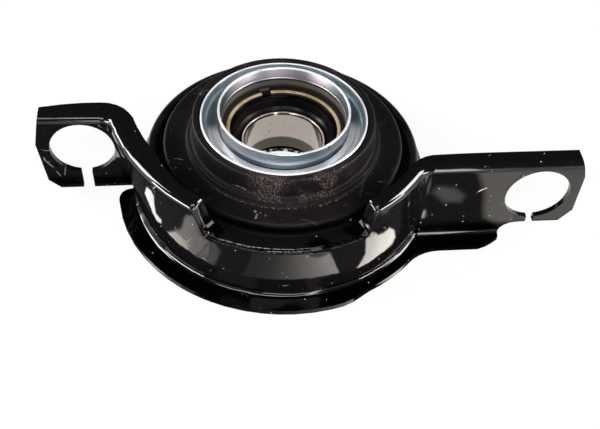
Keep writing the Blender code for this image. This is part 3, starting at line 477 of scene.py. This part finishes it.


# Front shield: a channel ring pressed from zinc-plated sheet, seated in the top of the hub round the sleeve.
# Its floor steps down outside a narrow land, and its wall curves up to a polished rim. The floor's front
# half is painted pale lilac as painted light, and the rim as a painted highlight.
front_shield = turned("front_shield", [(29.1, 37.2), (33.2, 37.2)] + arc(33.2, 40.8, 3.6, 270, 345, 7)
                      + [(37.0, 41.6), (37.0, 43.35)] + arc(36.45, 43.35, 0.4, 60, 150, 4)
                      + [(35.95, 43.3), (35.9, 41.6)] + arc(33.0, 40.9, 2.7, 345, 275, 7)
                      + [(32.4, 37.95), (32.0, 38.4), (29.1, 38.5)], edge=0.1, edge_angle=50)
finish_piece(front_shield, "housing", ["front_dust_shield"])
shield_plate, tree, shader, centred, plate, gloss = zinc_plating("shield_plate")
# Painted light: the front half of the floor and the rim are paled and made less metal
front_half = ramp(tree, along_axis(tree, centred, "Y"), 3 * MM, -6 * MM)
trough_floor = times(tree, zone(tree, 28.5, 33.9, 36, 40), front_half)
rim = zone(tree, 35.9, 38, 43.45, 45)
pale_light = highest(tree, times(tree, trough_floor, 0.75), rim)
tree.links.new(mix_color(tree, pale_light, plate, LILAC_LIGHT), shader.inputs["Base Color"])
tree.links.new(rest(tree, times(tree, pale_light, 0.75)), shader.inputs["Metallic"])
tree.links.new(total(tree, gloss, 0.12), shader.inputs["Roughness"])
dress(front_shield, shield_plate)


# Rear shield: the matching ring, pressed from the same zinc-plated sheet and pushed into the sleeve's foot.
# Its rim shows through the bore, bright in front and darkened in patches of painted shade at the back.
shaded_back_plate, tree, shader, centred, plate, gloss = zinc_plating("shaded_back_plate")
# Painted shade: dark patches only toward the back of the rim
back_shade = ramp(tree, noise(tree, centred, 500.0, 3.0), 0.58, 0.50)
at_back = ramp(tree, along_axis(tree, centred, "Y"), 6 * MM, 10 * MM)
plate = mix_color(tree, times(tree, back_shade, at_back), plate, DARK_STEEL_SHADE)
tree.links.new(plate, shader.inputs["Base Color"])
tree.links.new(gloss, shader.inputs["Roughness"])
dress(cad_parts["rear_dust_shield"], shaded_back_plate)


# Snap ring: open ring of hard spring steel, yellow passivated, sprung into the sleeve's groove over the
# bearing. Its two ends are cut square, 4 mm apart, at the back left of the part. Painted shade darkens all
# of it but its inner edge on top, which keeps the gold.
GOLD_LIGHT = (0.98, 0.83, 0.56, 1)
GOLD_DARK = (0.66, 0.46, 0.22, 1)
RING_SHADE = (0.016, 0.013, 0.009, 1)
passivated, tree, shader = new_material("yellow_passivated_steel", 0.32, 0.6)
film = noise(tree, object_place(tree), 120.0, 4.0)
gold = mix_color(tree, ramp(tree, film, 0.35, 0.68), GOLD_LIGHT, GOLD_DARK)
# Painted shade: all but the inner edge on top is painted dark
inner_edge = zone(tree, 23.5, 25.4, 36.35, 40)
tree.links.new(mix_color(tree, inner_edge, RING_SHADE, gold), shader.inputs["Base Color"])
tree.links.new(times(tree, inner_edge, 0.5), shader.inputs["Metallic"])
emboss(tree, shader, 0.2, 0.05, film)
dress(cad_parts["snap_ring"], passivated)


# Bearing races: hardened steel rings with ground tracks, the balls between them. The inner one's bore is
# polished for the shaft, and painted darker toward its foot as shade. Its face shows a pale line of painted
# highlight between two bevels painted dark as shade.
BORE_STEEL = (0.43, 0.38, 0.345, 1)
BORE_STAIN = (0.27, 0.24, 0.21, 1)
BORE_FOOT_SHADE = (0.085, 0.080, 0.062, 1)
HIGHLIGHT_PINK = (0.92, 0.80, 0.76, 1)
BEVEL_SHADE = (0.030, 0.022, 0.018, 1)
BALLS = 14
polished, tree, shader = new_material("polished_bore_steel", 0.09, 1.0)
place = object_place(tree)
stain = ramp(tree, noise(tree, place, 520.0, 4.0), 0.63, 0.72)
# Painted shade at the foot of the bore and on the two bevels, and a painted highlight on the pale line
# between them
foot = rest(tree, ramp(tree, along_axis(tree, place, "Z"), 14.2 * MM, 15.2 * MM))
bevel_shade = highest(tree, zone(tree, 17.0, 17.85, 28.45, 30), zone(tree, 18.75, 19.8, 27, 30))
crown_highlight = zone(tree, 17.95, 18.65, 28.7, 30)
steel = mix_color(tree, stain, BORE_STEEL, BORE_STAIN)
for mask, color in ((foot, BORE_FOOT_SHADE), (bevel_shade, BEVEL_SHADE), (crown_highlight, HIGHLIGHT_PINK)):
    steel = mix_color(tree, mask, steel, color)
tree.links.new(steel, shader.inputs["Base Color"])
tree.links.new(rest(tree, times(tree, crown_highlight, 0.8)), shader.inputs["Metallic"])
drawn_out = add(tree, "Mapping", [("Vector", from_shaft(tree, place)), ("Scale", (1, 1, 60))]).outputs[0]
grind = noise(tree, drawn_out, 30.0, 4.0)
tree.links.new(spread(tree, grind, 0.3, 0.7, 0.05, 0.16), shader.inputs["Roughness"])
track = [(20.95, 11.6), (20.95, 19.4), (19.9, 20.3), (19.3, 21.4), (19.22, 22.2), (19.3, 23.0), (19.9, 24.1),
         (20.95, 25.0), (20.95, 25.7)]
inner_race = turned("inner_race_ground", [(17.5, 8.5), (18.0, 8.0), (19.2, 8.0), (19.4, 8.2), (19.4, 11.6)]
                    + track + [(19.4, 25.7), (19.4, 28.5)] + arc(18.7, 28.6, 0.7, 10, 90, 5)
                    + [(18.10, 29.25), (18.0, 29.15), (17.5, 28.4)])
finish_piece(inner_race, "inner_race", ["inner_race"], soft_angle=30)
dress(inner_race, polished)
dress(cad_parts["outer_race"], polished)
for number in range(1, BALLS + 1):
    dress(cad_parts["ball_%02d" % number], polished)


# Cage: the ring of pressed steel that spaces the balls and goes round with them.
# The seals hide it.
CAGE_SHADE = (0.42, 0.38, 0.33, 1)
CAGE_LIGHT = (0.62, 0.58, 0.52, 1)
cage_steel, tree, shader = new_material("cage_steel", 0.35, 1.0)
press = noise(tree, object_place(tree), 200.0, 3.0)
tree.links.new(mix_color(tree, press, CAGE_SHADE, CAGE_LIGHT), shader.inputs["Base Color"])
dress(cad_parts["ball_cage"], cage_steel)


# Seals: moulded nitrile rings that snap into the outer race, with a soft lip that rubs on the inner one.
# Grease has left the front one shiny in places.
SEAL_BLACK = (0.0035, 0.0034, 0.0034, 1)
SEAL_GREASED = (0.007, 0.0064, 0.0062, 1)
seal_rubber, tree, shader = new_material("seal_nitrile", 0.4, IOR=1.5, Specular_IOR_Level=0.14)
grease = noise(tree, object_place(tree), 110.0, 4.0)
skin = mix_color(tree, ramp(tree, grease, 0.4, 0.7), SEAL_BLACK, SEAL_GREASED)
tree.links.new(skin, shader.inputs["Base Color"])
tree.links.new(spread(tree, grease, 0.35, 0.7, 0.22, 0.5), shader.inputs["Roughness"])
seal_top = [(25.1, 32.4), (25.1, 33.6), (24.9, 33.8), (22.4, 33.8), (22.1, 33.6), (21.6, 32.0), (21.3, 30.4)]
seal_lip = [(20.6, 29.7), (19.75, 28.8), (19.65, 28.4), (19.65, 27.7), (20.4, 27.8), (22.3, 28.2)]
seal_lip += [(23.2, 32.4)]
front_seal = turned("front_seal_moulding", seal_top + seal_lip, edge=0.12)
finish_piece(front_seal, "housing", ["front_seal"])
dress(front_seal, seal_rubber)
dress(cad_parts["rear_seal"], seal_rubber)


# Studio: a white table under a dark ceiling, with lamp boxes and strips at the two sides and in front.
# The table shows white. Sheets lie on it just outside the web, and only what mirrors sees them, such as the
# gloss paint: painted reflections, bright sheets and one dark sheet of painted shade.
FLOOR_SIZE = 6.0
FLOOR_LEVEL = -0.1 * MM
TABLE_SHARE = 0.88
TABLE_WHITE = (0.86, 0.86, 0.85, 1)
PALE = (1.0, 0.998, 0.985, 1)
WARM = (1.0, 0.95, 0.88, 1)
CEILING = (0.020, 0.020, 0.022, 1)
LAMP_PINK = (1.0, 0.95, 0.94)
LAMP_TARGET = Vector((0, 0, 0.02))
start_piece()
bpy.ops.mesh.primitive_plane_add(size=FLOOR_SIZE, location=(0, 0, FLOOR_LEVEL))
floor = bpy.context.object
floor.name = "floor"
table_top, tree, shader = new_material("table_top", 0.9)
shader.inputs["Base Color"].default_value = TABLE_WHITE
path = add(tree, "LightPath")
seen = highest(tree, path.outputs["Is Glossy Ray"], path.outputs["Is Transmission Ray"],
               path.outputs["Is Camera Ray"])
glow = add(tree, "Emission", [("Color", PALE), ("Strength", 1.0)])
cover = add(tree, "MixShader", [("Fac", times(tree, seen, TABLE_SHARE)), (1, shader.outputs[0]),
                                (2, glow.outputs[0])])
tree.links.new(cover.outputs[0], tree.nodes["Material Output"].inputs["Surface"])
dress(floor, table_top)

world = bpy.data.worlds.new("studio")
bpy.context.scene.world = world
world.use_nodes = True
tree = world.node_tree
height = along_axis(tree, add(tree, "TexCoord").outputs["Generated"], "Z")
sky = mix_color(tree, ramp(tree, height, 0.05, 0.30), PALE, CEILING)
tree.links.new(sky, tree.nodes["Background"].inputs["Color"])


def soft_box(name, azimuth, height, distance, width, depth, power):
    """A lamp that faces the part, placed by its angle about the part and its height above the table."""
    light = bpy.data.lights.new(name, "AREA")
    light.shape = "RECTANGLE"
    light.size, light.size_y, light.energy, light.color = width, depth, power, LAMP_PINK
    lamp = bpy.data.objects.new(name, light)
    bpy.context.scene.collection.objects.link(lamp)
    angle = math.radians(azimuth)
    lamp.location = (distance * math.cos(angle), distance * math.sin(angle), height)
    lamp.rotation_euler = (LAMP_TARGET - lamp.location).to_track_quat("-Z", "Y").to_euler()


soft_box("right_box", -2, 0.42, 0.85, 0.34, 0.42, 9.0)
soft_box("right_strip", -28, 0.12, 0.85, 0.46, 0.14, 4.0)
soft_box("left_box", 172, 0.42, 0.85, 0.30, 0.42, 8.0)
soft_box("left_strip", 200, 0.12, 0.85, 0.46, 0.14, 5.5)
soft_box("left_back_strip", 151, 0.17, 0.85, 0.36, 0.15, 3.5)
soft_box("front_left_box", -126, 0.80, 0.80, 0.40, 0.40, 2.4)
soft_box("front_strip", -72, 0.45, 0.90, 0.10, 0.80, 2.4)
soft_box("front_low_strip", -90, 0.30, 0.88, 0.50, 0.14, 1.8)
soft_box("front_top_strip", -90, 0.75, 0.49, 0.50, 0.10, 2.0)


def reflector(name, corners, strength, soft=1.2, color=PALE, level=-0.06):
    """A sheet on the table that only mirrors see, given by its corners in mm. It fades out at its edge."""
    ring = [Vector(corner) for corner in corners]
    side = math.copysign(1, sum(a.cross(b) for a, b in zip(ring, ring[1:] + ring[:1])))
    outer = []
    for before, here, after in zip(ring[-1:] + ring[:-1], ring, ring[1:] + ring[:1]):
        along = (here - before).normalized() + (after - here).normalized()
        outer.append(here + Vector((along.y, -along.x)).normalized() * soft * side)
    count = len(ring)
    hem = [[k, (k + 1) % count, count + (k + 1) % count, count + k] for k in range(count)]
    mesh = bpy.data.meshes.new(name)
    mesh.from_pydata([(x * MM, y * MM, level * MM) for x, y in ring + outer], [], [list(range(count))] + hem)
    mesh.attributes.new("cover", "FLOAT", "POINT").data.foreach_set("value", [1.0] * count + [0.0] * count)
    sheet = bpy.data.objects.new(name, mesh)
    bpy.context.scene.collection.objects.link(sheet)
    material, tree, shader = new_material(name, 0.5)
    glow = add(tree, "Emission", [("Color", color), ("Strength", strength)])
    cover = add(tree, "Attribute", attribute_name="cover").outputs["Fac"]
    clear = add(tree, "BsdfTransparent")
    mixed = add(tree, "MixShader", [("Fac", cover), (1, clear.outputs[0]), (2, glow.outputs[0])])
    tree.links.new(mixed.outputs[0], tree.nodes["Material Output"].inputs["Surface"])
    dress(sheet, material)
    sheet.visible_camera = sheet.visible_diffuse = sheet.visible_shadow = False
    return tree, glow


# Painted shade: a dark sheet that stands for the shaded table round the part, seen only in mirrors
reflector("table_shade_sheet", [(-150, 30), (-150, -125), (98, -125), (98, -20), (40, -30), (-60, -30), (-90, 30)],
          0.06, level=-0.08)
# Painted reflections: bright sheets that put pale patches and streaks into the gloss paint
reflector("left_streak", [(-97, -11), (-92, -10), (-88, -15), (-83.5, -20), (-80.5, -26), (-80, -28),
                          (-82, -27.5), (-84.5, -23), (-90, -20.5), (-95, -19), (-97, -16)], 4.5, 0.7)
reflector("left_pale", [(-76, -34.5), (-70.5, -40.5), (-62, -49.5), (-58, -53.5), (-60, -60), (-66, -64),
                        (-84, -68), (-86, -50), (-84, -48), (-78, -45.5), (-77, -40)], 1.6, 2.5, WARM)
reflector("left_warm", [(-76, -35), (-71, -40.5), (-65, -47), (-69, -47), (-75, -43.5), (-77, -40.5)],
          3.4, 1.0, WARM, -0.04)
reflector("left_grey", [(-60, -52), (-52, -57), (-56, -68), (-66, -68)], 0.8, 3.0, WARM)

# The next sheet brightens toward its right end
tree, glow = reflector("centre_pale", [(-36, -60), (-36, -98), (18.5, -98), (18.5, -75), (17.5, -66),
                                       (-12, -64)], 1.0, 1.0, WARM)
across = spread(tree, along_axis(tree, object_place(tree), "X"), -36 * MM, 14 * MM, 0.0, 1.0)
brightness = total(tree, 0.25, times(tree, 2.9, math_node(tree, "POWER", across, 2.2)))
tree.links.new(brightness, glow.inputs["Strength"])

reflector("right_bright", [(27, -61.5), (33, -56.5), (39, -51.5), (44, -48.5), (48, -45.5), (52, -44),
                           (55.5, -45), (57, -49), (53, -52), (50.5, -57), (51, -61), (50, -68), (46, -67),
                           (42, -64), (37, -61), (32, -60.5)], 6.0, 1.5, WARM)
reflector("plate_blob", [(68, -56), (74, -55.5), (76, -58), (73, -63), (68, -64), (65.5, -61)],
          1.1, 4.0, WARM)
reflector("plate_pale", [(86, -43), (91, -39), (97, -38), (98, -50), (99, -58), (112, -70), (112, -90),
                         (91, -90), (90.5, -62), (89, -55), (87, -48)], 1.6, 4.0, WARM)
reflector("plate_far", [(101, -36), (124, -37), (146, -66), (150, -110), (116, -110), (116, -72),
                        (102, -59)], 1.3, 4.0, WARM)

# Camera: fitted to the rings and the bracket's outline in the photograph's 600 x 429 frame
CAMERA_PLACE = (-0.037981, -0.287291, 0.303382)
CAMERA_TURN = (42.185, -2.391, -4.898)
camera = bpy.data.objects.new("camera", bpy.data.cameras.new("camera"))
bpy.context.scene.collection.objects.link(camera)
bpy.context.scene.camera = camera
camera.location = CAMERA_PLACE
camera.rotation_euler = [math.radians(a) for a in CAMERA_TURN]
camera.data.lens = 53.21
camera.data.sensor_width = 36
bpy.context.scene.view_settings.view_transform = "Standard"
